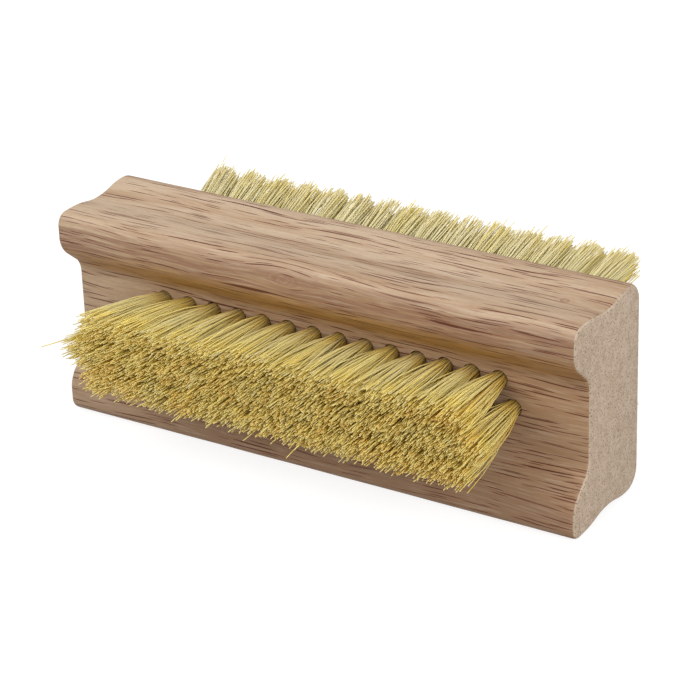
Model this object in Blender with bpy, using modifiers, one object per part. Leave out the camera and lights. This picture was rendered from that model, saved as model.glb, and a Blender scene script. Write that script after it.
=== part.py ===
"""Double-sided wooden nail brush: a moulded hardwood block with fibre tufts in both broad faces.

The brush stands on one long, narrow edge. X runs along the block, -Y is the recessed front
face, +Y is the wider back face and +Z is up. The origin lies on the ground, midway along the
block and midway between the tips of the two brush faces. Every length is in metres.
"""

from dataclasses import dataclass
from math import cos, pi, radians, sin, tan

import bmesh
import bpy
from mathutils import Matrix, Vector

# --- Block: overall sizes -------------------------------------------------------------------
BLOCK_LENGTH = 0.0950
BLOCK_HEIGHT = 0.0360
BLOCK_DEPTH = 0.0220
END_EASING = 0.0006  # sanded edge round both sawn ends

# --- Block: moulded section (heights are measured from the middle of the block) -------------
RECESS_DEPTH = 0.0051  # how far the front field lies behind the front lobes
RECESS_HALF_HEIGHT = 0.0074  # half the recess floor, up to where its slope begins
RECESS_SLOPE_RISE = 0.0044  # height taken by the slope from the floor to the lobe
RECESS_FLOOR_RADIUS = 0.0020
LOBE_INNER_RADIUS = 0.0025
FRONT_EDGE_RADIUS = 0.0020
BACK_EDGE_RADIUS = 0.0036
FINGER_DIP = 0.0009  # shallow groove along the top and the underside
FINGER_DIP_HALF_WIDTH = 0.0054
FINGER_DIP_OFFSET = 0.0003  # the groove's middle, behind the block's middle

# --- Tufts ----------------------------------------------------------------------------------
ROW_PITCH = 0.0044  # from row to row at the face
LONG_ROW_TUFTS = 15  # the rows between hold one tuft fewer
HOLE_RADIUS = 0.0015
HOLE_DEPTH = 0.0060
HOLE_CLEARANCE = 0.0003  # between a tuft and the side or the bottom of its hole
FREE_LENGTH = 0.0160  # trimmed length outside the wood
TUFT_GAP = 0.0003  # between neighbours that stay apart at their tips
ROW_GAP = 0.0012  # between the tips of two rows
TUFT_MERGE = 0.0004  # how far the back tufts run into their neighbours at the tips

FRONT_ROWS = 3
FRONT_PITCH = 0.004785  # from tuft to tuft along a row
FRONT_LEAN = radians(2.0)  # outward lean of the outermost rows
FRONT_FAN = (radians(15.0), radians(3.0))  # lean of the last tufts at the -X and +X ends
FRONT_SHIFT = 0.0008  # the front field sits this far towards +X

BACK_ROWS = 5
BACK_PITCH = 0.0051
BACK_LEAN = radians(14.0)
BACK_FAN = (radians(9.0), radians(9.0))
BACK_SHIFT = 0.0005  # along the back face's own X, so towards the world's -X

# --- Fineness -------------------------------------------------------------------------------
ARC_STEPS = 4
DIP_STEPS = 8
TUFT_SIDES = 8
HOLE_OVERRUN = 0.0015  # how far a hole's cutter stands out of the face


@dataclass(frozen=True)
class Face:
    """One tufted face: its place, the way it looks and how its tufts are set out."""

    name: str
    depth: float  # of the face, behind the block's foremost plane
    turn: float  # about Z, after the face has been stood upright
    rows: int
    pitch: float  # from tuft to tuft along a row
    lean: float
    fan: tuple
    shift: float


FRONT = Face(
    "front", RECESS_DEPTH, 0.0, FRONT_ROWS, FRONT_PITCH, FRONT_LEAN, FRONT_FAN, FRONT_SHIFT
)
BACK = Face(
    "back", BLOCK_DEPTH, pi, BACK_ROWS, BACK_PITCH, BACK_LEAN, BACK_FAN, BACK_SHIFT
)

# The front tips stand FREE_LENGTH off the recess floor, and the back tips off the back face.
FRONT_TIPS = RECESS_DEPTH - FREE_LENGTH
BACK_TIPS = BLOCK_DEPTH + FREE_LENGTH
ORIGIN_DEPTH = (FRONT_TIPS + BACK_TIPS) / 2


def place_y(depth):
    """World Y of a plane given as a depth behind the block's foremost plane."""
    return depth - ORIGIN_DEPTH


# --- Scene helpers --------------------------------------------------------------------------
def clear_scene():
    """Remove whatever the scene holds before the brush is built."""
    for item in list(bpy.data.objects):
        bpy.data.objects.remove(item, do_unlink=True)


def new_collection(name):
    """A collection linked to the scene."""
    group = bpy.data.collections.new(name)
    bpy.context.scene.collection.children.link(group)
    return group


def new_material(name, colour, roughness, metallic=0.0):
    """A Principled material with one colour."""
    material = bpy.data.materials.new(name)
    material.use_nodes = True
    shader = material.node_tree.nodes["Principled BSDF"]
    shader.inputs["Base Color"].default_value = (*colour, 1.0)
    shader.inputs["Roughness"].default_value = roughness
    shader.inputs["Metallic"].default_value = metallic
    material.diffuse_color = (*colour, 1.0)
    return material


def new_object(name, mesh, group, material=None, parent=None):
    """An object for a mesh, in its collection, with its material and parent."""
    item = bpy.data.objects.new(name, mesh)
    group.objects.link(item)
    if material:
        mesh.materials.append(material)
    item.parent = parent
    return item


def hide_cutter(cutter):
    """Mark an object as a cutter, which is no part of the brush."""
    cutter.hide_render = True
    cutter.display_type = "WIRE"


def mesh_from(bm, name):
    """Turn a bmesh into a mesh and free it."""
    mesh = bpy.data.meshes.new(name)
    bm.to_mesh(mesh)
    bm.free()
    return mesh


# --- Block ----------------------------------------------------------------------------------
def rounded_corner(before, corner, after, radius):
    """Points of the arc that replaces a corner between two straight stretches."""
    back = (before - corner).normalized()
    ahead = (after - corner).normalized()
    half_angle = back.angle(ahead) / 2
    centre = corner + (back + ahead).normalized() * radius / sin(half_angle)
    cut = radius / tan(half_angle)
    start = corner + back * cut - centre
    end = corner + ahead * cut - centre
    sweep = pi - 2 * half_angle
    if start.cross(end) < 0:
        sweep = -sweep
    arc = []
    for step in range(ARC_STEPS + 1):
        arc.append(centre + Matrix.Rotation(sweep * step / ARC_STEPS, 2) @ start)
    return arc


def finger_dip():
    """Points along the groove in the top, from front to back."""
    middle = BLOCK_DEPTH / 2 + FINGER_DIP_OFFSET
    points = []
    for step in range(DIP_STEPS + 1):
        share = 2 * step / DIP_STEPS - 1
        depth = middle + share * FINGER_DIP_HALF_WIDTH
        fall = FINGER_DIP * (1 + cos(pi * share)) / 2
        points.append(Vector((depth, BLOCK_HEIGHT / 2 - fall)))
    return points


def upper_outline():
    """The section's upper half as (depth, height), from the recess floor to the back face."""
    top = BLOCK_HEIGHT / 2
    lobe_start = RECESS_HALF_HEIGHT + RECESS_SLOPE_RISE
    floor_middle = Vector((RECESS_DEPTH, 0.0))
    floor_corner = Vector((RECESS_DEPTH, RECESS_HALF_HEIGHT))
    lobe_inner = Vector((0.0, lobe_start))
    front_edge = Vector((0.0, top))
    back_edge = Vector((BLOCK_DEPTH, top))
    back_middle = Vector((BLOCK_DEPTH, 0.0))
    return [
        *rounded_corner(floor_middle, floor_corner, lobe_inner, RECESS_FLOOR_RADIUS),
        *rounded_corner(floor_corner, lobe_inner, front_edge, LOBE_INNER_RADIUS),
        *rounded_corner(lobe_inner, front_edge, back_edge, FRONT_EDGE_RADIUS),
        *finger_dip(),
        *rounded_corner(front_edge, back_edge, back_middle, BACK_EDGE_RADIUS),
    ]


def section_curve(group):
    """The block's section as a flat curve, extruded to the block's length."""
    upper = upper_outline()
    lower = [Vector((point.x, -point.y)) for point in reversed(upper)]
    outline = upper + lower
    curve = bpy.data.curves.new("block_section", "CURVE")
    curve.dimensions = "2D"
    curve.fill_mode = "BOTH"
    curve.extrude = BLOCK_LENGTH / 2
    spline = curve.splines.new("POLY")
    spline.points.add(len(outline) - 1)
    for point, place in zip(spline.points, outline):
        point.co = (place.x, place.y, 0.0, 1.0)
    spline.use_cyclic_u = True
    item = new_object("block_section", curve, group)
    item.rotation_euler = (pi / 2, 0.0, pi / 2)
    item.location = (0.0, place_y(0.0), BLOCK_HEIGHT / 2)
    return item


def make_block(group, material, cutters):
    """The moulded block: the extruded section, with eased ends and all its holes."""
    section = section_curve(group)
    bpy.context.view_layer.update()
    graph = bpy.context.evaluated_depsgraph_get()
    mesh = bpy.data.meshes.new_from_object(section.evaluated_get(graph))
    bm = bmesh.new()
    bm.from_mesh(mesh)
    bmesh.ops.remove_doubles(bm, verts=bm.verts, dist=1e-6)
    bmesh.ops.recalc_face_normals(bm, faces=bm.faces)
    bm.to_mesh(mesh)
    bm.free()
    block = new_object("wood_block", mesh, group, material)
    block.matrix_world = section.matrix_world
    bpy.data.objects.remove(section, do_unlink=True)
    mesh.shade_smooth()
    mesh.set_sharp_from_angle(angle=radians(35.0))
    easing = block.modifiers.new("end_easing", "BEVEL")
    easing.width = END_EASING
    easing.segments = 2
    easing.limit_method = "ANGLE"
    easing.angle_limit = radians(60.0)
    for cutter in cutters:
        drill = block.modifiers.new(cutter.name, "BOOLEAN")
        drill.operation = "DIFFERENCE"
        drill.object = cutter
    return block


# --- Tuft fields ----------------------------------------------------------------------------
def face_anchor(face, group):
    """An empty on the face: its X runs along the block, its Y is up and its Z points out."""
    anchor = bpy.data.objects.new(f"{face.name}_face", None)
    group.objects.link(anchor)
    anchor.rotation_euler = (pi / 2, 0.0, face.turn)
    anchor.location = (0.0, place_y(face.depth), BLOCK_HEIGHT / 2)
    return anchor


def row_height(face, row):
    """Height of a row's holes from the middle of the block; row 0 is the top one."""
    return ((face.rows - 1) / 2 - row) * ROW_PITCH


def row_lean(face, row):
    """Upward lean of a row, in proportion to its height."""
    outermost = row_height(face, 0)
    return face.lean * row_height(face, row) / outermost


def row_places(face, row):
    """Where the tufts of a row stand along the block, on the face's own X."""
    from_middle = abs(row - face.rows // 2)
    count = LONG_ROW_TUFTS - from_middle % 2
    return [face.shift + (i - (count - 1) / 2) * face.pitch for i in range(count)]


def end_lean(face, place):
    """Lean along the block: it grows with the square of the distance from the field's middle."""
    reach = (LONG_ROW_TUFTS - 1) / 2 * face.pitch
    share = (place - face.shift) / reach
    return face.fan[share > 0] * share * abs(share)


def tip_spacing(face):
    """From row to row at the tips."""
    outermost = row_height(face, 0)
    step = tan(face.lean) * FREE_LENGTH * ROW_PITCH / outermost
    return ROW_PITCH + step


def tip_halves_across(face):
    """Half a tuft's height at its tips, which leaves ROW_GAP between two rows."""
    return (tip_spacing(face) - ROW_GAP) / 2


def merged_tip_half(face, places, index):
    """Half a tuft's length at its tips where it reaches into its neighbours."""
    tips = [place + tan(end_lean(face, place)) * FREE_LENGTH for place in places]
    steps = [b - a for a, b in zip(tips, tips[1:])]
    beside = steps[max(index - 1, 0):index + 1]
    return max(beside) / 2 + TUFT_MERGE


def lean_matrix(along, up):
    """A shear that leans what stands along Z, and leaves what lies in the face in place."""
    shear = Matrix.Identity(4)
    shear[0][2] = tan(along)
    shear[1][2] = tan(up)
    return shear


def add_stem(bm, radius, low, high):
    """A round stem along Z between two heights, with both ends closed."""
    middle = Matrix.Translation((0.0, 0.0, (low + high) / 2))
    made = bmesh.ops.create_cone(
        bm,
        cap_ends=True,
        cap_tris=False,
        segments=TUFT_SIDES,
        radius1=radius,
        radius2=radius,
        depth=high - low,
        matrix=middle,
    )
    return made["verts"]


def add_tuft(bm, tip_half, tip_across):
    """A tuft at the origin: a plug in its hole and a bundle that widens to its trimmed tips."""
    radius = HOLE_RADIUS - HOLE_CLEARANCE
    stem = add_stem(bm, radius, HOLE_CLEARANCE - HOLE_DEPTH, 0.0)
    faces = {face for vert in stem for face in vert.link_faces}
    mouth = max(faces, key=lambda face: face.calc_center_median().z)
    grown = bmesh.ops.extrude_face_region(bm, geom=[mouth])["geom"]
    bmesh.ops.delete(bm, geom=[mouth], context="FACES_ONLY")
    tips = [item for item in grown if isinstance(item, bmesh.types.BMVert)]
    bmesh.ops.scale(bm, vec=(tip_half / radius, tip_across / radius, 1.0), verts=tips)
    bmesh.ops.translate(bm, vec=(0.0, 0.0, FREE_LENGTH), verts=tips)
    return stem + tips


def set_down(bm, verts, face, row, place):
    """Lean what was made at the origin, and move it to its place on the face."""
    lean = lean_matrix(end_lean(face, place), row_lean(face, row))
    shift = Matrix.Translation((place, row_height(face, row), 0.0))
    bmesh.ops.transform(bm, matrix=shift @ lean, verts=verts)


def make_holes(face, group, anchor):
    """One cutter that drills every hole of a face."""
    bm = bmesh.new()
    for row in range(face.rows):
        for place in row_places(face, row):
            stem = add_stem(bm, HOLE_RADIUS, -HOLE_DEPTH, HOLE_OVERRUN)
            set_down(bm, stem, face, row, place)
    cutter = new_object(f"{face.name}_holes", mesh_from(bm, f"{face.name}_holes"), group, parent=anchor)
    hide_cutter(cutter)
    return cutter


def make_single_tufts(face, group, material, anchor):
    """Each tuft of a face as a piece of its own, placed on the face."""
    across = tip_halves_across(face)
    half = (face.pitch - TUFT_GAP) / 2
    for row in range(face.rows):
        for index, place in enumerate(row_places(face, row)):
            bm = bmesh.new()
            tuft = add_tuft(bm, half, across)
            lean = lean_matrix(end_lean(face, place), row_lean(face, row))
            bmesh.ops.transform(bm, matrix=lean, verts=tuft)
            name = f"{face.name}_tuft_r{row + 1}_{index + 1:02d}"
            item = new_object(name, mesh_from(bm, name), group, material, anchor)
            item.location = (place, row_height(face, row), 0.0)


def make_joined_rows(face, group, cutter_group, material, anchor):
    """Each row of a face as one piece, whose tufts grow together towards their tips."""
    across = tip_halves_across(face)
    for row in range(face.rows):
        places = row_places(face, row)
        halves = []
        for first in (0, 1):
            bm = bmesh.new()
            for index in range(first, len(places), 2):
                tuft = add_tuft(bm, merged_tip_half(face, places, index), across)
                set_down(bm, tuft, face, row, places[index])
            halves.append(mesh_from(bm, f"{face.name}_row_{row + 1}_{first}"))
        item = new_object(f"{face.name}_tuft_row_{row + 1}", halves[0], group, material, anchor)
        others = new_object(f"{face.name}_others_{row + 1}", halves[1], cutter_group, None, anchor)
        hide_cutter(others)
        join = item.modifiers.new("every_second_tuft", "BOOLEAN")
        join.operation = "UNION"
        join.object = others


def build():
    """Build the whole brush."""
    clear_scene()
    parts = new_collection("nail_brush")
    cutters = new_collection("cutters")
    wood = new_material("bare_hardwood", (0.58, 0.42, 0.30), 0.62)
    fibre = new_material("plant_fibre", (0.80, 0.70, 0.36), 0.50)
    front = face_anchor(FRONT, parts)
    back = face_anchor(BACK, parts)
    drills = [make_holes(FRONT, cutters, front), make_holes(BACK, cutters, back)]
    make_block(parts, wood, drills)
    make_single_tufts(FRONT, parts, fibre, front)
    make_joined_rows(BACK, parts, cutters, fibre, back)


build()
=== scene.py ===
"""Looks of a double-sided wooden nail brush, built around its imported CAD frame.

The brush is one moulded rubberwood block with tampico fibre tufts stapled into both broad faces.
X runs along the block, -Y is the recessed front face, +Y the wide back face and +Z is up.
"""

import logging
from dataclasses import dataclass, field
from enum import Enum
from math import cos, pi, radians, sin, tan
from typing import Any, Iterable, Sequence, Union

import bmesh
import bpy
import numpy as np
from mathutils import Matrix, Vector, noise


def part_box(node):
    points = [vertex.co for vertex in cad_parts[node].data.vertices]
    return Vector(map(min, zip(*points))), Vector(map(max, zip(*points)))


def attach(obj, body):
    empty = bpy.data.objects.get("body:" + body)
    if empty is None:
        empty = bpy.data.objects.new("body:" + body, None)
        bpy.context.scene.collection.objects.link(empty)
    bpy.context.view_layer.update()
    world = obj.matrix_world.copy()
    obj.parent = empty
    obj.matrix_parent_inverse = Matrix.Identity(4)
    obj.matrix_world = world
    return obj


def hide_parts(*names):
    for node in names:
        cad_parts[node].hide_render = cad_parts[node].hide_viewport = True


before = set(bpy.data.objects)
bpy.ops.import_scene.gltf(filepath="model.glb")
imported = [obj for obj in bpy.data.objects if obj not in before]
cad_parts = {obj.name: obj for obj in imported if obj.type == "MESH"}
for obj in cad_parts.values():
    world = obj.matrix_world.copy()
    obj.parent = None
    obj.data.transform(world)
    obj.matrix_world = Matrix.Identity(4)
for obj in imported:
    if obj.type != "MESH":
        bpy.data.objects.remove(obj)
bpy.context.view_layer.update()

MM = 0.001
BODY = "root"
GOLDEN_ANGLE = 2.39996  # radians from one fibre of a bundle to the next

NodeTree = bpy.types.NodeTree
Source = Any  # a number, an output socket, or a node whose first live output is meant
Inputs = Union[Sequence, dict]

log = logging.getLogger("nail_brush")


# --- Colour and node helpers ----------------------------------------------------------------
def linear(code: str) -> tuple[float, float, float, float]:
    """Turn an sRGB hex colour into linear light.

    Args:
        code: six hex digits, with or without a leading hash.

    Returns:
        Red, green, blue and an alpha of 1.
    """
    digits = code.lstrip("#")
    parts = [int(digits[i:i + 2], 16) / 255 for i in (0, 2, 4)]
    light = [c / 12.92 if c <= 0.04045 else ((c + 0.055) / 1.055) ** 2.4 for c in parts]
    return (light[0], light[1], light[2], 1.0)


def add_node(tree: NodeTree, kind: str, inputs: Inputs = (), **settings: Any) -> bpy.types.Node:
    """Add a node, set its properties and fill or link its inputs.

    Args:
        tree: the node tree.
        kind: the node's type without the ShaderNode in front, and its operation after a colon.
        inputs: a value or a source for each input, in their order or by name or number.
        **settings: the node's own properties.

    Returns:
        The new node.
    """
    kind, _, operation = kind.partition(":")
    node = tree.nodes.new("ShaderNode" + kind)
    if operation:
        node.operation = operation
    for name, value in settings.items():
        setattr(node, name, value)
    for name, value in inputs.items() if isinstance(inputs, dict) else enumerate(inputs):
        if isinstance(value, bpy.types.Node):
            value = next(output for output in value.outputs if output.enabled)
        if isinstance(value, bpy.types.NodeSocket):
            tree.links.new(value, node.inputs[name])
        else:
            node.inputs[name].default_value = value
    return node


def fill_ramp(node: bpy.types.Node, stops: Sequence[tuple[float, str]]) -> None:
    """Give a colour ramp its stops.

    Args:
        node: the ramp.
        stops: a place and an sRGB hex colour for each stop, in order.
    """
    ramp = node.color_ramp
    while len(ramp.elements) < len(stops):
        ramp.elements.new(1.0)
    for element, (place, code) in zip(ramp.elements, stops):
        element.position = place
        element.color = linear(code)


def blank_material(name: str) -> tuple[bpy.types.Material, bpy.types.Node]:
    """A material that holds a Principled shader.

    Args:
        name: the material's name.

    Returns:
        The material and its shader node.
    """
    material = bpy.data.materials.new(name)
    material.use_nodes = True
    return material, material.node_tree.nodes["Principled BSDF"]


# --- Mesh helpers ---------------------------------------------------------------------------
def mesh_of(bm: bmesh.types.BMesh, name: str) -> bpy.types.Mesh:
    """Turn a bmesh into a mesh and free it.

    Args:
        bm: the bmesh.
        name: the mesh's name.

    Returns:
        The mesh.
    """
    mesh = bpy.data.meshes.new(name)
    bm.to_mesh(mesh)
    bm.free()
    return mesh


def place_piece(
    name: str,
    mesh: bpy.types.Mesh,
    material: bpy.types.Material,
    nodes: Iterable[str] = (),
) -> bpy.types.Object:
    """Link a finished mesh at the origin, dress it and tie it to the frame.

    Args:
        name: the piece's name.
        mesh: its mesh, with its place in its vertices.
        material: its finish.
        nodes: the CAD nodes that it stands for.

    Returns:
        The new object.
    """
    piece = bpy.data.objects.new(name, mesh)
    bpy.context.scene.collection.objects.link(piece)
    mesh.materials.clear()
    mesh.materials.append(material)
    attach(piece, BODY)
    if nodes:
        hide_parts(*nodes)
    log.info("%s: %d faces", name, len(mesh.polygons))
    return piece


class Side(Enum):
    """The two broad faces; the value is the way a face looks along Y."""

    FRONT = -1
    BACK = 1

    @property
    def word(self) -> str:
        """The side's name in lower case."""
        return self.name.lower()


# --- Finishes -------------------------------------------------------------------------------
@dataclass(frozen=True)
class SandedRubberwood:
    """Rubberwood, moulded by a spindle cutter, sanded and left bare.

    The eye sees a pale pink-beige ground with slow bands and fine streaks along the grain, dark
    reddish dashes where the cutter has opened a vessel lengthways, and a speckle of pores on the
    ends. The pattern lies in X and in the block's own girth, so it wraps round the moulding.
    Places and sizes are in millimetres; a pair of limits is where a rise begins and ends.
    The ground also holds painted light: painted shade with warm reflected light low on the
    front, a golden painted reflection of the fibres in the hollow under the front lobe, and
    painted shade towards the bottom.
    """

    half_length: float
    pale: str = "c5ae94"
    mid: str = "b5997d"
    tawny: str = "a68566"
    rosy: str = "8f6a55"
    # painted shade with warm light reflected from the fibres, laid low on the front face
    painted_warm_bounce: str = "a07d5c"
    # painted reflection: golden light thrown by the fibres into the hollow under the front lobe
    painted_fibre_reflection: str = "cc9c5a"
    streak: str = "dac8b1"
    fleck: str = "94705a"
    vessel: str = "54281a"
    vessel_edge: str = "93563d"
    end_ground: str = "c9b49d"
    end_pale: str = "d3c0ab"
    end_dull: str = "bca68e"
    pore: str = "58453a"
    fore: tuple[float, float] = (-6.5, -8.0)
    low_front: tuple[float, float] = (36.8, 32.4)
    inland: tuple[float, float] = (-46.0, -14.0)
    hollow_top: tuple[float, float] = (31.4, 29.0)
    hollow_floor: tuple[float, float] = (24.4, 26.6)
    # painted shade: the limits of the rosy tint that darkens the block towards the bottom
    foot: tuple[float, float] = (10.0, 3.0)
    layer_height: float = 32.2
    layer_reach: tuple[float, float] = (4.2, 1.2)
    layer_fore: tuple[float, float] = (-9.0, -11.5)
    end_skin: tuple[float, float] = (0.34, 0.22)
    knot: tuple[float, float, float] = (-3.7, -13.2, 33.6)
    pin_knot: tuple[float, float, float] = (40.2, -2.8, 35.2)
    # each layer's cell length and width, a dash's half width, and the share of empty cells
    vessel_layers: tuple[tuple[float, float, float, float], ...] = (
        (50.0, 1.04, 0.110, 0.28), (27.0, 0.70, 0.096, 0.22), (13.0, 0.54, 0.080, 0.26))
    pore_pitch: float = 0.56
    bump_depth: float = 0.10
    roughness: float = 0.62
    specular: float = 0.30

    def make(self) -> bpy.types.Material:
        """Build the material.

        Returns:
            The finished material.
        """
        material, shader = blank_material("rubberwood_moulded_and_sanded")
        RubberwoodNodes(self, material.node_tree).build(shader)
        return material


@dataclass
class RubberwoodNodes:
    """The wood's nodes while they are being made. Its methods take sizes in millimetres."""

    look: SandedRubberwood
    tree: NodeTree
    place: Source = field(init=False)
    x: Source = field(init=False)
    y: Source = field(init=False)
    z: Source = field(init=False)
    grain: Source = field(init=False)  # coordinates along the grain and across it

    def __post_init__(self) -> None:
        """Make the coordinates that the pattern lies in."""
        self.place = self._add("TexCoord").outputs["Object"]
        self.x, self.y, self.z = self._add("SeparateXYZ", [self.place]).outputs
        self.grain = self._grain()

    def build(self, shader: bpy.types.Node) -> None:
        """Make the pattern and link it to the shader.

        Args:
            shader: the material's shader.
        """
        look = self.look
        core, edge = self._all_vessels()
        colour = self._tint(self._ground(), look.vessel_edge, edge, 0.34)
        colour = self._tint(colour, look.vessel, core, 0.92)
        colour = self._knots(colour)
        away = self._add("Math:SUBTRACT", [look.half_length, self._add("Math:ABSOLUTE", [self.x])])
        on_end = self._rise(away, *look.end_skin, MM)
        pores = self._pores()
        end_colour = self._tint(self._end_ground(), look.pore, pores, 0.66)
        colour = self._add("Mix", {0: on_end, 6: colour, 7: end_colour}, data_type="RGBA")
        self.tree.links.new(colour.outputs[2], shader.inputs["Base Color"])
        self._relief(shader, core, self._product(pores, on_end))
        shader.inputs["Specular IOR Level"].default_value = look.specular

    def _add(self, kind: str, inputs: Inputs = (), **settings: Any) -> bpy.types.Node:
        """Add a node to the wood, in the way of add_node."""
        return add_node(self.tree, kind, inputs, **settings)

    def _product(self, first: Source, *others: Source) -> Source:
        """Multiply masks, which leaves 1 where each of them is 1.

        Args:
            first: the first mask.
            *others: the rest.

        Returns:
            The product.
        """
        for other in others:
            first = self._add("Math:MULTIPLY", [first, other])
        return first

    def _tint(self, colour: Source, code: str, mask: Source, share: Source) -> Source:
        """Lay a colour over the wood where a mask is high.

        Args:
            colour: the wood's colour so far.
            code: the colour that goes over it, as sRGB hex.
            mask: 1 where it shows and 0 where it doesn't.
            share: how much of it shows where the mask is 1.

        Returns:
            The new colour.
        """
        inputs = {0: self._product(mask, share), 6: colour, 7: linear(code)}
        return self._add("Mix", inputs, data_type="RGBA")

    def _in_cells(self, place: Source, *sizes: float) -> Source:
        """Coordinates in which a cell of the given size measures 1."""
        scale = tuple(1 / (size * MM) for size in sizes)
        return self._add("Mapping", {"Vector": place, "Scale": scale})

    def _swells(
        self,
        place: Source,
        along: float,
        across: float,
        detail: float = 2.0,
        harshness: float = 0.5,
    ) -> Source:
        """Smooth swells that are longer along the grain than across it.

        Args:
            place: the coordinates that they lie in.
            along: the swells' length.
            across: their width.
            detail: how many finer layers are added.
            harshness: how strong each finer layer is.

        Returns:
            A value from 0 to 1 that lies round 0.5.
        """
        spot = self._in_cells(place, along, across, across)
        inputs = {"Vector": spot, "Scale": 1.0, "Detail": detail, "Roughness": harshness}
        return self._add("TexNoise", inputs)

    def _rise(self, value: Source, low: float, high: float, unit: float = 1.0) -> Source:
        """A smooth rise from 0 to 1 while a value goes from low to high, in the given unit."""
        inputs = {"Value": value, "From Min": low * unit, "From Max": high * unit}
        return self._add("MapRange", inputs, interpolation_type="SMOOTHSTEP")

    def _near(self, spot: Sequence[float], *half: float) -> Source:
        """Distance from a spot, in which an ellipsoid round it measures 1.

        Args:
            spot: the ellipsoid's middle.
            *half: its half sizes.

        Returns:
            The distance.
        """
        middle = tuple(value * MM for value in spot)
        offset = self._add("VectorMath:SUBTRACT", [self.place, middle])
        return self._add("VectorMath:LENGTH", [self._in_cells(offset, *half)])

    def _grain(self) -> Source:
        """Coordinates along and across the grain, which sways and parts round the small knot.

        Returns:
            The coordinates.
        """
        girth = self._add("Attribute", attribute_name="girth").outputs["Fac"]
        flat = self._add("CombineXYZ", [self.x, girth])
        sway = self._add("Math:MULTIPLY_ADD", [self._swells(flat, 26.0, 9.0, 1.0), 2.4 * MM, girth])
        push = self._rise(self._near(self.look.knot, 9.0, 9.0, 3.2), 1.0, 0.0)
        above = self._add("Math:SUBTRACT", [self.z, self.look.knot[2] * MM])
        across = self._add("Math:MULTIPLY_ADD", [self._product(above, -0.78), push, sway])
        return self._add("CombineXYZ", [self.x, across])

    def _ground(self) -> Source:
        """The wood between its vessels: slow bands, growth layers and fine streaks, and painted
        light.

        The painted light is painted shade with warm reflected light low on the front, a golden
        painted reflection of the fibres in the hollow under the front lobe, and painted shade
        towards the bottom.

        Returns:
            The colour.
        """
        look = self.look
        bands = self._swells(self.grain, 70.0, 3.6, 3.0, 0.55)
        colour = self._add("ValToRGB", [self._add("Math:MULTIPLY_ADD", [self.x, -2.2, bands])])
        fill_ramp(colour, [(0.24, look.tawny), (0.41, look.mid), (0.56, look.pale)])

        # painted shade and warm reflected light from the fibres, low on the front and weaker
        # towards the -X end
        fore = self._rise(self.y, *look.fore, MM)
        low_front = self._product(self._rise(self.z, *look.low_front, MM), fore)
        inland = self._rise(self.x, *look.inland, MM)
        share = self._add("Math:MULTIPLY_ADD", [inland, 0.47, 0.25])
        colour = self._tint(colour, look.painted_warm_bounce, low_front, share)
        # painted golden reflection of the fibres in the hollow under the front lobe, in patches
        upper = self._rise(self.z, *look.hollow_top, MM)
        lower = self._rise(self.z, *look.hollow_floor, MM)
        patchy = self._swells(self.grain, 12.0, 0.6, 3.0, 0.6)
        share = self._add("Math:MULTIPLY_ADD", [patchy, 1.1, 0.12])
        colour = self._tint(colour, look.painted_fibre_reflection, self._product(upper, lower, fore), share)
        colour = self._tint(colour, look.rosy, self._lobe_layer(), 0.80)
        # painted shade towards the bottom of the block
        colour = self._tint(colour, look.rosy, self._rise(self.z, *look.foot, MM), 0.35)

        streaks = self._swells(self.grain, 9.0, 0.36, 4.0, 0.62)
        colour = self._tint(colour, look.streak, self._rise(streaks, 0.48, 0.64), 0.26)
        colour = self._tint(colour, look.tawny, self._rise(streaks, 0.50, 0.34), 0.34)
        flecks = self._rise(self._swells(self.grain, 1.5, 0.15, 2.0, 0.6), 0.47, 0.30)
        return self._tint(colour, look.fleck, flecks, 0.38)

    def _lobe_layer(self) -> Source:
        """The rosy growth layer that crosses the front lobe's lower half, in patches.

        Returns:
            1 where the layer shows.
        """
        height = self._add("Math:SUBTRACT", [self.z, self.look.layer_height * MM])
        away = self._add("Math:ABSOLUTE", [height])
        band = self._rise(away, *self.look.layer_reach, MM)
        fore = self._rise(self.y, *self.look.layer_fore, MM)
        patchy = self._rise(self._swells(self.grain, 18.0, 0.7, 4.0, 0.65), 0.38, 0.55)
        return self._product(band, fore, patchy)

    def _all_vessels(self) -> tuple[Source, Source]:
        """Opened vessels in layers: long ones, middling ones and short ones.

        Returns:
            The vessels' dark cores and their wider, paler edges.
        """
        crowd = self._swells(self.grain, 34.0, 4.2)
        layers = [self._vessels(crowd, *layer) for layer in self.look.vessel_layers]
        core, edge = layers[0]
        for other_core, other_edge in layers[1:]:
            core = self._add("Math:MAXIMUM", [core, other_core])
            edge = self._add("Math:MAXIMUM", [edge, other_edge])
        return core, edge

    def _scattered(
        self, place: Source, length: float, width: float, spread: float
    ) -> tuple[Source, bpy.types.Node]:
        """Flat cells of uneven shape, with a mark in the middle of each.

        Args:
            place: the coordinates that they lie in.
            length: the cells' length.
            width: their width.
            spread: how much the marks differ in width from cell to cell.

        Returns:
            The distance from the mark's middle, in which a wide mark's edge is as near as a thin
            one's, and the cell's three chances as a separated colour.
        """
        inputs = {"Vector": self._in_cells(place, length, width, width), "Scale": 1.0}
        cell = self._add("TexVoronoi", inputs, voronoi_dimensions="2D")
        pick = self._add("SeparateColor", [cell.outputs["Color"]])
        wide = self._add("Math:MULTIPLY_ADD", [pick.outputs["Green"], spread, 0.5])
        return self._add("Math:DIVIDE", [cell, wide]), pick

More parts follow.
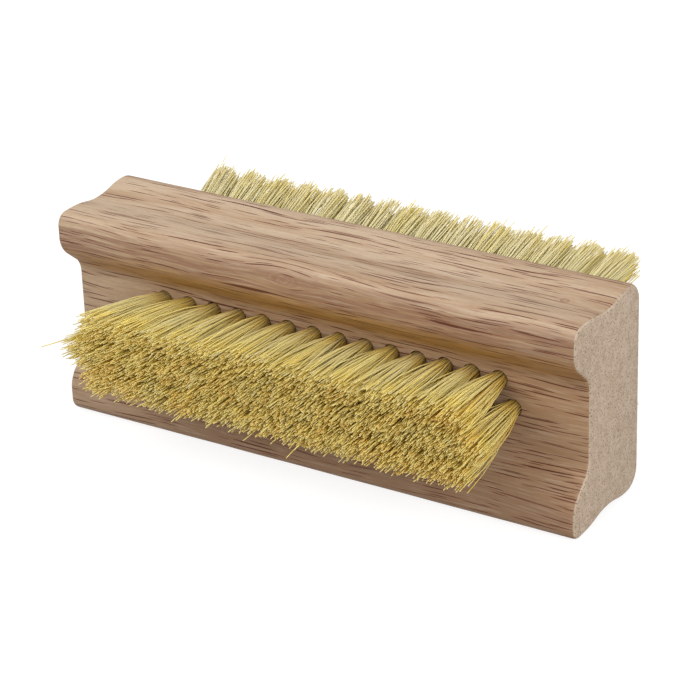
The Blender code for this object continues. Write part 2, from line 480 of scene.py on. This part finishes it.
    def _vessels(
        self, crowd: Source, length: float, width: float, radius: float, empty: float
    ) -> tuple[Source, Source]:
        """Opened vessels: long thin dashes along the grain, one in each cell that holds one.

        Args:
            crowd: noise that is high where vessels lie close together.
            length: the cells' length.
            width: their width.
            radius: half a dash's width.
            empty: the share of the cells that hold no vessel.

        Returns:
            The vessels' dark cores and their wider, paler edges.
        """
        near, pick = self._scattered(self.grain, length, width, 0.95)
        odds = self._add("Math:MULTIPLY_ADD", [crowd, 1.1, pick.outputs["Red"]])
        depth = self._add("Math:MULTIPLY_ADD", [pick.outputs["Blue"], 0.40, 0.60])
        held = self._product(self._rise(odds, empty + 0.52, empty + 0.60), depth)
        ragged = self._swells(self.grain, 0.9, 0.10, 1.0)
        near = self._add("Math:MULTIPLY_ADD", [ragged, 0.06, near])
        reach = radius / width
        core = self._rise(near, reach + 0.03, reach * 0.72 + 0.03)
        edge = self._rise(near, reach * 1.7 + 0.03, reach * 0.9 + 0.03)
        return self._product(core, held), self._product(edge, held)

    def _knots(self, colour: Source) -> Source:
        """The swirl of a small knot on the front lobe, and a pin knot on the top.

        Args:
            colour: the wood's colour so far.

        Returns:
            The new colour.
        """
        ripple = self._swells(self.place, 1.3, 0.6, 3.0, 0.65)
        swirls = (
            (self.look.knot, (3.4, 6.0, 1.8), 16.0, 0.50),
            (self.look.pin_knot, (1.4, 1.5, 1.5), 9.0, 0.70),
        )
        for spot, half, rings, strength in swirls:
            away = self._near(spot, *half)
            loose = self._add("Math:MULTIPLY_ADD", [ripple, 0.9, away])
            wave = self._add("Math:SINE", [self._product(loose, rings)])
            swirl = self._product(self._rise(wave, 0.0, 0.9), self._rise(away, 1.25, 0.30))
            colour = self._tint(colour, self.look.rosy, swirl, strength)
        return colour

    def _end_ground(self) -> Source:
        """End grain: greyer than the long grain, with a faint mottle.

        Returns:
            The colour.
        """
        look = self.look
        ramp = self._add("ValToRGB", [self._swells(self.place, 5.0, 1.1, 4.0, 0.6)])
        fill_ramp(ramp, [(0.34, look.end_dull), (0.50, look.end_ground), (0.68, look.end_pale)])
        return ramp

    def _pores(self) -> Source:
        """Vessels cut across: fine dark dots about half a millimetre apart, seen on the ends.

        Returns:
            1 in the pores.
        """
        flat = self._add("CombineXYZ", [self.y, self.z])
        near, _ = self._scattered(flat, self.look.pore_pitch, self.look.pore_pitch, 0.9)
        return self._rise(near, 0.22, 0.11)

    def _relief(self, shader: bpy.types.Node, core: Source, pores: Source) -> None:
        """Sink the vessels and pores a little, and rough up the sanded surface.

        Args:
            shader: the material's shader.
            core: the opened vessels.
            pores: the pores on the ends.
        """
        fuzz = self._swells(self.grain, 3.0, 0.22, 3.0)
        pits = self._add("Math:MAXIMUM", [core, pores])
        surface = self._add("Math:MULTIPLY_ADD", [pits, -1.0, self._product(fuzz, 0.35)])
        bump = self._add("Bump", {
            "Strength": 0.42, "Distance": self.look.bump_depth * MM, "Height": surface})
        self.tree.links.new(bump.outputs["Normal"], shader.inputs["Normal"])
        rough = self._add("Math:MULTIPLY_ADD", [fuzz, 0.4, self.look.roughness - 0.18])
        self.tree.links.new(rough.outputs[0], shader.inputs["Roughness"])


@dataclass(frozen=True)
class TampicoFibre:
    """Tampico, the stiff leaf fibre of an agave, cut to length.

    The eye sees straw yellow that deepens to ochre in the shade between the fibres and pales
    to cream at the cut tips, with each fibre a little paler or more golden than its neighbour.
    Its dark root and golden neck colours are painted shade where each tuft leaves its hole.
    """

    # the root and neck colours are painted shade where each tuft leaves its hole
    root: str = "865e22"
    neck_painted_shade: str = "c9a74e"
    shaft: str = "f6eaa8"
    crown: str = "f9e377"
    tip: str = "f5eab4"
    golden: str = "ecbd49"
    straw: str = "f8e47e"
    pale_straw: str = "ded297"
    bleached: str = "e0d7b8"
    roughness: float = 0.50
    specular: float = 0.35

    def make(self) -> bpy.types.Material:
        """Build the material from the fibres' own along and tone attributes.

        Returns:
            The finished material.
        """
        material, shader = blank_material("tampico_fibre_cut")
        tree = material.node_tree
        along = add_node(tree, "Attribute", attribute_name="along").outputs["Fac"]
        tone = add_node(tree, "Attribute", attribute_name="tone").outputs["Fac"]
        base = add_node(tree, "ValToRGB", [along])
        # the root and neck stops are painted shade at the foot of each tuft
        fill_ramp(base, [
            (0.25, self.root), (0.37, self.neck_painted_shade), (0.54, self.shaft), (0.76, self.shaft),
            (0.92, self.crown), (1.0, self.tip)])
        kinds = add_node(tree, "ValToRGB", [tone])
        fill_ramp(kinds, [
            (0.05, self.golden), (0.38, self.straw), (0.68, self.pale_straw),
            (0.95, self.bleached)])
        share = add_node(tree, "MapRange", {
            "Value": along, "From Min": 0.24, "From Max": 0.46, "To Min": 0.22, "To Max": 0.60})
        own = add_node(tree, "Mix", {0: share, 6: base, 7: kinds}, data_type="RGBA")
        tree.links.new(own.outputs[2], shader.inputs["Base Color"])
        shader.inputs["Roughness"].default_value = self.roughness
        shader.inputs["Specular IOR Level"].default_value = self.specular
        return material


@dataclass(frozen=True)
class TinnedSteelWire:
    """Flat steel wire, drawn and tinned: a dull grey metal with soft highlights."""

    colour: str = "a9a9a6"
    roughness: float = 0.38
    uneven: float = 0.1
    drawing_marks: tuple[float, float, float] = (2.0, 0.3, 0.3)  # their size in millimetres

    def make(self) -> bpy.types.Material:
        """Build the material.

        Returns:
            The finished material.
        """
        material, shader = blank_material("tinned_steel_wire_drawn")
        tree = material.node_tree
        place = add_node(tree, "TexCoord").outputs["Object"]
        scale = tuple(1 / (size * MM) for size in self.drawing_marks)
        spot = add_node(tree, "Mapping", {"Vector": place, "Scale": scale})
        drawn = add_node(tree, "TexNoise", {"Vector": spot, "Scale": 1.0})
        rough = add_node(tree, "MapRange", {
            "Value": drawn, "To Min": self.roughness - self.uneven,
            "To Max": self.roughness + self.uneven})
        tree.links.new(rough.outputs[0], shader.inputs["Roughness"])
        shader.inputs["Base Color"].default_value = linear(self.colour)
        shader.inputs["Metallic"].default_value = 1.0
        return material


@dataclass(frozen=True)
class PaperSweep:
    """Matt white background paper, which reads as an even, very pale floor."""

    colour: str = "909090"
    glow: float = 0.82
    roughness: float = 0.9
    specular: float = 0.1

    def make(self) -> bpy.types.Material:
        """Build the material.

        Returns:
            The finished material.
        """
        material, shader = blank_material("white_paper_matt")
        shader.inputs["Base Color"].default_value = linear(self.colour)
        shader.inputs["Roughness"].default_value = self.roughness
        shader.inputs["Specular IOR Level"].default_value = self.specular
        shader.inputs["Emission Color"].default_value = (1.0, 1.0, 1.0, 1.0)
        shader.inputs["Emission Strength"].default_value = self.glow
        return material


# --- Tuft layout, shared by the block's holes, the staples and the fibres --------------------
@dataclass(frozen=True)
class TuftField:
    """Where the tufts of one face stand and how they lean. Lengths are in metres."""

    side: Side
    face_y: float
    mid_z: float
    rows: int
    pitch: float  # from tuft to tuft along a row
    lean: float  # of the outermost rows, in radians
    fan: tuple[float, float]  # lean of the last tufts at the -X and +X ends
    shift: float = 0.0
    long_row: int = 15
    row_pitch: float = 4.4 * MM
    hole_radius: float = 1.5 * MM
    hole_depth: float = 6.0 * MM
    free_length: float = 16.0 * MM

    def row_height(self, row: int) -> float:
        """Height of a row above the middle of the block; row 0 is the top one."""
        return ((self.rows - 1) / 2 - row) * self.row_pitch

    def row_lean(self, row: int) -> float:
        """Upward lean of a row, in proportion to its height."""
        return self.lean * self.row_height(row) / self.row_height(0)

    def places(self, row: int) -> list[float]:
        """Where the tufts of a row stand along X, from the -X end."""
        count = self.long_row - abs(row - self.rows // 2) % 2
        return [self.shift + (i - (count - 1) / 2) * self.pitch for i in range(count)]

    def end_lean(self, place: float) -> float:
        """Lean along X, which grows with the square of the distance from the field's middle.

        Args:
            place: where the tuft stands along X.

        Returns:
            The lean in radians.
        """
        reach = (self.long_row - 1) / 2 * self.pitch
        share = (place - self.shift) / reach
        return self.fan[share > 0] * share * abs(share)

    def to_world(self, row: int, place: float) -> Matrix:
        """Matrix from a tuft's own frame, whose Z points out of its hole, to the world.

        Args:
            row: the tuft's row.
            place: where it stands along X.

        Returns:
            The lean, the turn onto the face and the move to the hole's mouth, in one.
        """
        out = self.side.value
        shear = Matrix.Identity(4)
        shear[0][2] = tan(self.end_lean(place))
        shear[1][2] = tan(self.row_lean(row))
        turn = Matrix(((1, 0, 0, 0), (0, 0, out, 0), (0, 1, 0, 0), (0, 0, 0, 1)))
        height = self.mid_z + self.row_height(row)
        return Matrix.Translation((place, self.face_y, height)) @ turn @ shear


# --- Block ----------------------------------------------------------------------------------
@dataclass
class MouldedBlock:
    """The moulded block, drilled for every tuft."""

    fields: Sequence[TuftField]
    recess_depth: float = 5.1 * MM
    end_easing: float = 0.7 * MM
    slice_pitch: float = 2.5 * MM
    hand_sanding: float = 0.07 * MM
    drill_overrun: float = 1.2 * MM
    drill_point: float = 0.5 * MM
    sharp_from: float = radians(38.0)
    low: Vector = field(init=False)
    high: Vector = field(init=False)
    outline: np.ndarray = field(init=False)  # the section's points as Y and Z, in order

    def __post_init__(self) -> None:
        """Take the block's place from the frame."""
        self.low, self.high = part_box("wood_block")

    def _corners(self) -> list[tuple[float, float, float]]:
        """Corners of the section's upper half.

        Returns:
            For each corner its depth behind the front, its height above the middle, and how far
            its rounding reaches along the straights, all in millimetres.
        """
        depth = (self.high.y - self.low.y) / MM
        top = (self.high.z - self.low.z) / MM / 2
        recess = self.recess_depth / MM
        return [
            (recess, 7.4, 1.5),
            (0.0, 11.8, 1.9),
            (0.0, top, 2.2),
            (5.6, top, 1.7),
            (11.3, top - 1.25, 3.0),
            (16.6, top, 1.4),
            (depth, top, 3.6),
        ]

    def _section(self, bm: bmesh.types.BMesh) -> bmesh.types.BMFace:
        """The section as one flat face at the -X end, with its corners rounded.

        Args:
            bm: the bmesh that takes it.

        Returns:
            The face.
        """
        middle = (self.low.z + self.high.z) / 2
        upper = self._corners()
        lower = [(depth, -height, reach) for depth, height, reach in reversed(upper)]
        made = []
        for depth, height, reach in upper + lower:
            spot = (self.low.x, self.low.y + depth * MM, middle + height * MM)
            made.append((bm.verts.new(spot), reach * MM))
        bm.faces.new([vert for vert, _ in made])
        for vert, reach in made:
            bmesh.ops.bevel(
                bm, geom=[vert], offset=reach, offset_type="OFFSET", segments=9,
                profile=0.5, affect="VERTICES", material=-1)
        face = bm.faces[:][0]
        self.outline = np.array([(vert.co.y, vert.co.z) for vert in face.verts])
        return face

    def _girth_at(self, spots: np.ndarray) -> np.ndarray:
        """Distance round the block, from the middle of its underside and up its front.

        Args:
            spots: places as Y and Z.

        Returns:
            The distance of the nearest point of the outline, for each place.
        """
        ahead = np.roll(self.outline, -1, axis=0) - self.outline
        lengths = np.linalg.norm(ahead, axis=1)
        starts = np.concatenate([[0.0], np.cumsum(lengths)[:-1]])
        offset = spots[:, None, :] - self.outline[None, :, :]
        share = np.clip((offset * ahead).sum(axis=2) / lengths ** 2, 0.0, 1.0)
        away = np.linalg.norm(offset - share[:, :, None] * ahead, axis=2)
        nearest = away.argmin(axis=1)
        return starts[nearest] + share[np.arange(len(spots)), nearest] * lengths[nearest]

    def _write_girth(self, mesh: bpy.types.Mesh) -> None:
        """Give every corner of every face its distance round the block.

        Args:
            mesh: the block.
        """
        ahead = np.roll(self.outline, -1, axis=0) - self.outline
        whole = np.linalg.norm(ahead, axis=1).sum()
        under = np.array([[(self.low.y + self.high.y) / 2, self.low.z]])
        start = self._girth_at(under)
        verts = np.empty(len(mesh.vertices) * 3)
        mesh.vertices.foreach_get("co", verts)
        centres = np.empty(len(mesh.polygons) * 3)
        mesh.polygons.foreach_get("center", centres)
        corners = np.empty(len(mesh.loops), dtype=np.int32)
        mesh.loops.foreach_get("vertex_index", corners)
        sizes = np.empty(len(mesh.polygons), dtype=np.int32)
        mesh.polygons.foreach_get("loop_total", sizes)
        at_vert = (self._girth_at(verts.reshape(-1, 3)[:, 1:]) - start) % whole
        at_face = (self._girth_at(centres.reshape(-1, 3)[:, 1:]) - start) % whole
        girth = at_vert[corners]
        past = girth - np.repeat(at_face, sizes)
        girth -= whole * np.round(past / whole)
        layer = mesh.attributes.new("girth", "FLOAT", "CORNER")
        layer.data.foreach_set("value", girth.astype(np.float32))

    def _body(self) -> bpy.types.Mesh:
        """The block before it is drilled: extruded, eased at its ends and sanded by hand.

        Returns:
            The mesh.
        """
        bm = bmesh.new()
        face = self._section(bm)
        length = self.high.x - self.low.x
        grown = bmesh.ops.extrude_face_region(bm, geom=[face], use_keep_orig=True)["geom"]
        far = [item for item in grown if isinstance(item, bmesh.types.BMVert)]
        bmesh.ops.translate(bm, vec=(length, 0.0, 0.0), verts=far)
        bmesh.ops.recalc_face_normals(bm, faces=bm.faces)
        ends = [edge for edge in bm.edges if abs(edge.verts[0].co.x - edge.verts[1].co.x) < 1e-7]
        bmesh.ops.bevel(
            bm, geom=ends, offset=self.end_easing, offset_type="OFFSET", segments=4,
            profile=0.5, affect="EDGES", material=-1, clamp_overlap=True)
        cut = self.low.x + self.slice_pitch
        while cut < self.high.x - self.end_easing:
            bmesh.ops.bisect_plane(
                bm, geom=bm.verts[:] + bm.edges[:] + bm.faces[:], plane_co=(cut, 0.0, 0.0),
                plane_no=(1.0, 0.0, 0.0))
            cut += self.slice_pitch
        bm.normal_update()
        self._sand(bm)
        return mesh_of(bm, "moulded_block")

    def _sand(self, bm: bmesh.types.BMesh) -> None:
        """Move the surface in and out by a few hundredths of a millimetre, in slow swells.

        Args:
            bm: the block.
        """
        for vert in bm.verts:
            spot = Vector((vert.co.x / (9 * MM), vert.co.y / (5 * MM), vert.co.z / (5 * MM)))
            push = Vector((0.0, vert.normal.y, vert.normal.z))
            vert.co -= push * self.hand_sanding * (0.5 + 0.5 * noise.noise(spot))

    def _drill(self) -> bpy.types.Object:
        """One cutter with a twist drill's cone at the bottom of each hole.

        Returns:
            The cutter.
        """
        bm = bmesh.new()
        overrun = self.drill_overrun
        for tufts in self.fields:
            for row in range(tufts.rows):
                for place in tufts.places(row):
                    length = tufts.hole_depth + overrun
                    middle = Matrix.Translation((0.0, 0.0, (overrun - tufts.hole_depth) / 2))
                    made = bmesh.ops.create_cone(
                        bm, cap_ends=True, segments=20, radius1=tufts.hole_radius,
                        radius2=tufts.hole_radius, depth=length,
                        matrix=tufts.to_world(row, place) @ middle)
                    bottom = min(
                        {face for vert in made["verts"] for face in vert.link_faces},
                        key=lambda face: face.calc_center_median().y * tufts.side.value)
                    poked = bmesh.ops.poke(bm, faces=[bottom])["verts"]
                    deeper = (0.0, -tufts.side.value * self.drill_point, 0.0)
                    bmesh.ops.translate(bm, vec=deeper, verts=poked)
        bmesh.ops.recalc_face_normals(bm, faces=bm.faces)
        cutter = bpy.data.objects.new("drill", mesh_of(bm, "drill"))
        bpy.context.scene.collection.objects.link(cutter)
        return cutter

    def build(self, finish: bpy.types.Material) -> None:
        """Make the block, drill it and tie it to the frame.

        Args:
            finish: the wood.
        """
        blank = bpy.data.objects.new("blank", self._body())
        bpy.context.scene.collection.objects.link(blank)
        drill = self._drill()
        cut = blank.modifiers.new("drill", "BOOLEAN")
        cut.operation = "DIFFERENCE"
        cut.solver = "EXACT"
        cut.object = drill
        bpy.context.view_layer.update()
        graph = bpy.context.evaluated_depsgraph_get()
        mesh = bpy.data.meshes.new_from_object(blank.evaluated_get(graph))
        bpy.data.objects.remove(blank, do_unlink=True)
        bpy.data.objects.remove(drill, do_unlink=True)
        mesh.shade_smooth()
        mesh.set_sharp_from_angle(angle=self.sharp_from)
        self._write_girth(mesh)
        place_piece("moulded_block", mesh, finish, ["wood_block"])


# --- Fibres ---------------------------------------------------------------------------------
@dataclass
class FibreBundle:
    """How the fibres of a tuft are made. Lengths are in metres."""

    fibres: int = 150
    sides: int = 5
    segments: int = 4
    radius: float = 0.106 * MM
    tip_taper: float = 0.80
    packed: float = 1.24 * MM  # radius of the bundle inside its hole
    foot: float = 5.1 * MM  # how deep the fibres start
    tip_along: float = 2.75 * MM  # half of the bundle's length at its tips
    tip_up: float = 2.35 * MM
    square: float = 0.75  # 0 leaves the tips in a disc and 1 sets them out as a square
    opening: float = 1.8  # above 1 a tuft opens early, near its hole
    wander: float = 0.36 * MM
    bow: float = 0.30 * MM
    dome: float = 0.5 * MM  # how much shorter the outermost fibres are
    uneven: float = 0.26 * MM
    clump: float = 0.37 * MM  # how far neighbouring fibres are cut long or short together
    clump_size: float = 1.6 * MM
    strays: float = 0.026
    stray_reach: float = 2.3 * MM
    tone: float = 0.36  # 0 is golden and 1 is bleached
    # painted light: the fibres on top of the field are made paler, as if lit from above
    painted_top_light: float = 0.28  # how much paler the fibres on top of the field are
    tone_patch: float = 2.2 * MM  # how far a patch of one tone reaches
    tone_swing: float = 0.22  # how much the patches differ
    tone_spread: float = 0.13  # how much the fibres of a patch differ
    thickness: tuple[float, float] = (0.78, 1.18)  # the thinnest and thickest fibre

    def strand(self) -> bpy.types.Mesh:
        """One straight fibre of radius 1 and length 1, from z = 0 to z = 1.

        Returns:
            The mesh.
        """
        bm = bmesh.new()
        bmesh.ops.create_cone(
            bm, cap_ends=True, segments=self.sides, radius1=1.0, radius2=1.0, depth=1.0,
            matrix=Matrix.Translation((0.0, 0.0, 0.5)))
        upright = [e for e in bm.edges if abs(e.verts[0].co.z - e.verts[1].co.z) > 0.5]
        bmesh.ops.subdivide_edges(bm, edges=upright, cuts=self.segments - 1, use_grid_fill=False)
        return mesh_of(bm, "strand")

    def swell(self, spots: np.ndarray, size: float) -> np.ndarray:
        """Smooth noise from -1 to 1 at some places.

        Args:
            spots: the places, one a row.
            size: how long its swells are.

        Returns:
            One value for each place.
        """
        return np.array([noise.noise(Vector(spot) / size) for spot in spots])

    def bend(
        self,
        strand: np.ndarray,
        tufts: TuftField,
        corner: Sequence[float],
        rng: np.random.Generator,
    ) -> tuple[np.ndarray, np.ndarray, np.ndarray]:
        """Lay a tuft's fibres side by side in the hole and let them open out towards the tips.

        Args:
            strand: the straight fibre's points.
            tufts: the field that the tuft belongs to.
            corner: the tuft's place on its face, along X and up.
            rng: the source of chance.

        Returns:
            Each fibre's points in the tuft's own frame, each point's share of the length, and
            each fibre's tone.
        """
        count = self.fibres
        turn = np.arange(count) * GOLDEN_ANGLE + rng.uniform(0, 2 * pi)
        out = np.sqrt((np.arange(count) + 0.5) / count)
        spread = np.stack([out * np.cos(turn), out * np.sin(turn)], axis=1)
        spread += rng.normal(0.0, 0.05, (count, 2))
        squared = spread * (np.linalg.norm(spread, axis=1) / np.abs(spread).max(axis=1))[:, None]
        squared = spread + self.square * (squared - spread)
        spots = np.zeros((count, 3))
        spots[:, :2] = squared * (self.tip_along, self.tip_up) + corner
        tips = tufts.free_length + rng.normal(0.0, self.uneven, count) - self.dome * out ** 2
        tips += self.clump * self.swell(spots, self.clump_size)
        stray = rng.random(count) < self.strays
        tips += stray * rng.uniform(0.3, 1.0, count) * self.stray_reach
        share = strand[:, 2]
        height = -self.foot + share[None, :] * (tips[:, None] + self.foot)
        opened = np.clip(height / tufts.free_length, 0.0, 1.0)
        ease = 1 - (1 - opened) ** self.opening
        wide = squared * (self.tip_along, self.tip_up) - spread * self.packed
        sway = rng.normal(0.0, self.wander, (count, 2)) * (1 + 2.0 * stray[:, None])
        arch = rng.normal(0.0, self.bow, (count, 2))
        centre = spread[:, None, :] * self.packed + ease[:, :, None] * wide[:, None, :]
        centre = centre + sway[:, None, :] * (opened ** 1.4)[:, :, None]
        centre = centre + arch[:, None, :] * np.sin(opened * pi)[:, :, None]
        thick = self.radius * rng.uniform(*self.thickness, count)[:, None]
        thick = thick * (1 - (1 - self.tip_taper) * opened)
        ring = strand[None, :, :2] * thick[:, :, None]
        points = np.concatenate([centre + ring, height[:, :, None]], axis=2)
        along = np.clip((height + self.foot) / (tufts.free_length + self.foot), 0.0, 1.0)
        tone = self.tone + self.tone_swing * self.swell(spots, self.tone_patch)
        tone = tone + rng.normal(0.0, self.tone_spread, count)
        # painted light on the top of the field: its upper fibres turn paler
        above = (spots[:, 1] - tufts.row_height(0)) / self.tip_up
        tone += self.painted_top_light * np.clip(above, 0.0, 1.0)
        tone = np.clip(tone + rng.normal(0.0, 0.05), 0.0, 1.0)
        return points, along, tone


@dataclass
class Bristles:
    """The fibres of one face."""

    tufts: TuftField
    bundle: FibreBundle
    seed: int

    def _tuft(
        self, strand: np.ndarray, row: int, place: float, rng: np.random.Generator
    ) -> tuple[np.ndarray, np.ndarray, np.ndarray]:
        """One tuft's points in the world, their share of the length and each fibre's tone.

        Args:
            strand: the straight fibre's points.
            row: the tuft's row.
            place: where it stands along X.
            rng: the source of chance.

        Returns:
            The points, shares and tones.
        """
        corner = (place, self.tufts.row_height(row))
        points, along, tone = self.bundle.bend(strand, self.tufts, corner, rng)
        matrix = np.array(self.tufts.to_world(row, place))
        world = points @ matrix[:3, :3].T + matrix[:3, 3]
        return world, along, np.repeat(tone[:, None], points.shape[1], axis=1)

    def _row_mesh(
        self, name: str, row: int, places: Sequence[float], rng: np.random.Generator
    ) -> bpy.types.Mesh:
        """The fibres of some tufts of a row as one mesh.

        Args:
            name: the mesh's name.
            row: the row.
            places: where the tufts stand along X.
            rng: the source of chance.

        Returns:
            The mesh, with the attributes that its finish reads.
        """
        strand_mesh = self.bundle.strand()
        strand = np.empty(len(strand_mesh.vertices) * 3)
        strand_mesh.vertices.foreach_get("co", strand)
        strand = strand.reshape(-1, 3)
        made = [self._tuft(strand, row, place, rng) for place in places]
        bm = bmesh.new()
        for _ in range(self.bundle.fibres * len(places)):
            bm.from_mesh(strand_mesh)
        if self.tufts.side is Side.FRONT:
            bmesh.ops.reverse_faces(bm, faces=bm.faces)
        mesh = mesh_of(bm, name)
        bpy.data.meshes.remove(strand_mesh)
        points, along, tone = (np.concatenate([item[i] for item in made]) for i in range(3))
        mesh.vertices.foreach_set("co", points.ravel())
        for label, values in (("along", along), ("tone", tone)):
            layer = mesh.attributes.new(label, "FLOAT", "POINT")
            layer.data.foreach_set("value", values.ravel().astype(np.float32))
        mesh.update()
        mesh.shade_smooth()
        mesh.set_sharp_from_angle(angle=radians(75.0))
        return mesh

    def build_tufts(self, finish: bpy.types.Material) -> None:
        """Make each tuft as a piece of its own.

        Args:
            finish: the fibre.
        """
        side = self.tufts.side.word
        for row in range(self.tufts.rows):
            for index, place in enumerate(self.tufts.places(row)):
                rng = np.random.default_rng(self.seed + 100 * row + index)
                label = f"r{row + 1}_{index + 1:02d}"
                mesh = self._row_mesh(f"{side}_fibres_{label}", row, [place], rng)
                place_piece(mesh.name, mesh, finish, [f"{side}_tuft_{label}"])

    def build_rows(self, finish: bpy.types.Material) -> None:
        """Make each row of tufts as one piece.

        Args:
            finish: the fibre.
        """
        side = self.tufts.side.word
        for row in range(self.tufts.rows):
            rng = np.random.default_rng(self.seed + row)
            mesh = self._row_mesh(f"{side}_fibre_row_{row + 1}", row, self.tufts.places(row), rng)
            place_piece(mesh.name, mesh, finish, [f"{side}_tuft_row_{row + 1}"])


@dataclass
class Staples:
    """The flat-wire staple that holds each tuft at the bottom of its hole."""

    tufts: TuftField
    width: float = 2.5 * MM
    height: float = 0.75 * MM
    wire: float = 0.35 * MM
    eased: float = 0.05 * MM

    def build(self, finish: bpy.types.Material) -> None:
        """Make a face's staples as one piece.

        Args:
            finish: the wire.
        """
        bm = bmesh.new()
        for row in range(self.tufts.rows):
            for place in self.tufts.places(row):
                seat = Matrix.Translation((0.0, 0.0, 0.5 * self.height - self.tufts.hole_depth))
                size = Matrix.Diagonal((self.width, self.wire, self.height, 1.0))
                made = bmesh.ops.create_cube(
                    bm, size=1.0, matrix=self.tufts.to_world(row, place) @ seat @ size)
                edges = list({edge for vert in made["verts"] for edge in vert.link_edges})
                bmesh.ops.bevel(
                    bm, geom=edges, offset=self.eased, offset_type="OFFSET", segments=1,
                    profile=0.5, affect="EDGES", material=-1)
        bmesh.ops.recalc_face_normals(bm, faces=bm.faces)
        name = f"{self.tufts.side.word}_staples"
        place_piece(name, mesh_of(bm, name), finish)


# --- Studio ---------------------------------------------------------------------------------
@dataclass
class Softbox:
    """One square area light that faces the brush."""

    name: str
    place: tuple[float, float, float]
    size: float
    power: float
    colour: str = "ffffff"

    def build(self, target: Vector) -> None:
        """Hang the light.

        Args:
            target: what it faces.
        """
        lamp = bpy.data.lights.new(self.name, "AREA")
        lamp.shape = "SQUARE"
        lamp.size = self.size
        lamp.energy = self.power
        lamp.color = linear(self.colour)[:3]
        item = bpy.data.objects.new(self.name, lamp)
        item.location = self.place
        item.rotation_euler = (target - item.location).to_track_quat("-Z", "Y").to_euler()
        bpy.context.scene.collection.objects.link(item)


@dataclass
class Studio:
    """The floor, the lights and the camera round the brush."""

    aim: Vector = field(default_factory=lambda: Vector((0.00544, -0.00891, 0.02146)))
    azimuth: float = radians(32.23)
    elevation: float = radians(26.12)
    roll: float = radians(-1.96)
    distance: float = 0.44
    lens: float = 143.6
    floor_size: float = 3.0
    dome_below: str = "a89b88"
    dome_above: str = "ffffff"
    dome_strength: float = 0.55
    softboxes: Sequence[Softbox] = (
        Softbox("key_over_left_shoulder", (-0.50, -0.58, 0.60), 0.60, 5.1, "fffcf6"),
        Softbox("fill_from_the_right", (0.68, -0.36, 0.36), 0.55, 4.2, "fafbff"),
        Softbox("top_light", (-0.10, 0.45, 0.80), 0.60, 1.0),
    )

    def floor(self) -> None:
        """Lay a wide, plain sheet of paper under the brush."""
        bm = bmesh.new()
        bmesh.ops.create_grid(bm, x_segments=1, y_segments=1, size=self.floor_size)
        sheet = bpy.data.objects.new("paper_floor", mesh_of(bm, "paper_floor"))
        sheet.data.materials.append(PaperSweep().make())
        sheet.visible_diffuse = False
        bpy.context.scene.collection.objects.link(sheet)

    def world(self) -> None:
        """A soft dome: bright overhead and dim below the horizon."""
        world = bpy.data.worlds.new("soft_dome")
        world.use_nodes = True
        tree = world.node_tree
        sky = tree.nodes["Background"]
        parts = add_node(tree, "SeparateXYZ", [add_node(tree, "TexCoord").outputs["Generated"]])
        inputs = {"Value": parts.outputs["Z"], "From Min": -0.25, "From Max": 0.7}
        rise = add_node(tree, "MapRange", inputs, interpolation_type="SMOOTHSTEP")
        low, high = linear(self.dome_below), linear(self.dome_above)
        mix = add_node(tree, "Mix", {0: rise, 6: low, 7: high}, data_type="RGBA")
        tree.links.new(mix.outputs[2], sky.inputs["Color"])
        sky.inputs["Strength"].default_value = self.dome_strength
        bpy.context.scene.world = world

    def camera(self) -> None:
        """Set the camera at its azimuth, elevation and roll, looking at the aim."""
        lens = bpy.data.cameras.new("camera")
        lens.lens = self.lens
        lens.sensor_width = 36.0
        lens.clip_start = 0.01
        item = bpy.data.objects.new("camera", lens)
        back = Vector((
            sin(self.azimuth) * cos(self.elevation),
            -cos(self.azimuth) * cos(self.elevation),
            sin(self.elevation)))
        item.location = self.aim + back * self.distance
        turn = back.to_track_quat("Z", "Y").to_matrix() @ Matrix.Rotation(self.roll, 3, "Z")
        item.rotation_euler = turn.to_euler()
        bpy.context.scene.collection.objects.link(item)
        bpy.context.scene.camera = item

    def build(self) -> None:
        """Set up everything that isn't the brush."""
        self.floor()
        self.world()
        for softbox in self.softboxes:
            softbox.build(self.aim)
        self.camera()
        bpy.context.scene.view_settings.view_transform = "Standard"


def main() -> None:
    """Build the brush piece by piece, then the studio."""
    logging.basicConfig(level=logging.INFO, format="%(name)s %(message)s")
    low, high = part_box("wood_block")
    middle = (low.z + high.z) / 2
    front = TuftField(
        Side.FRONT, low.y + MouldedBlock.recess_depth, middle, 3, 4.785 * MM, radians(1.0),
        (radians(15.0), radians(1.5)), shift=0.8 * MM)
    back = TuftField(
        Side.BACK, high.y, middle, 5, 5.1 * MM, radians(14.0), (radians(9.0), radians(9.0)),
        shift=-0.5 * MM)

    wood = SandedRubberwood(high.x).make()
    fibre = TampicoFibre().make()
    wire = TinnedSteelWire().make()

    MouldedBlock([front, back]).build(wood)
    Bristles(front, FibreBundle(), seed=11).build_tufts(fibre)
    # the back field's higher tone gives duller fibres: painted shade on the back tufts
    trimmed = FibreBundle(
        tip_along=2.70 * MM, tip_up=2.4 * MM, square=0.4, opening=2.4, wander=0.22 * MM,
        dome=1.6 * MM, clump=0.35 * MM, strays=0.006, stray_reach=2.6 * MM, tone=0.70)
    Bristles(back, trimmed, seed=7001).build_rows(fibre)
    for tufts in (front, back):
        Staples(tufts).build(wire)
    Studio().build()


if __name__ == "__main__":
    main()
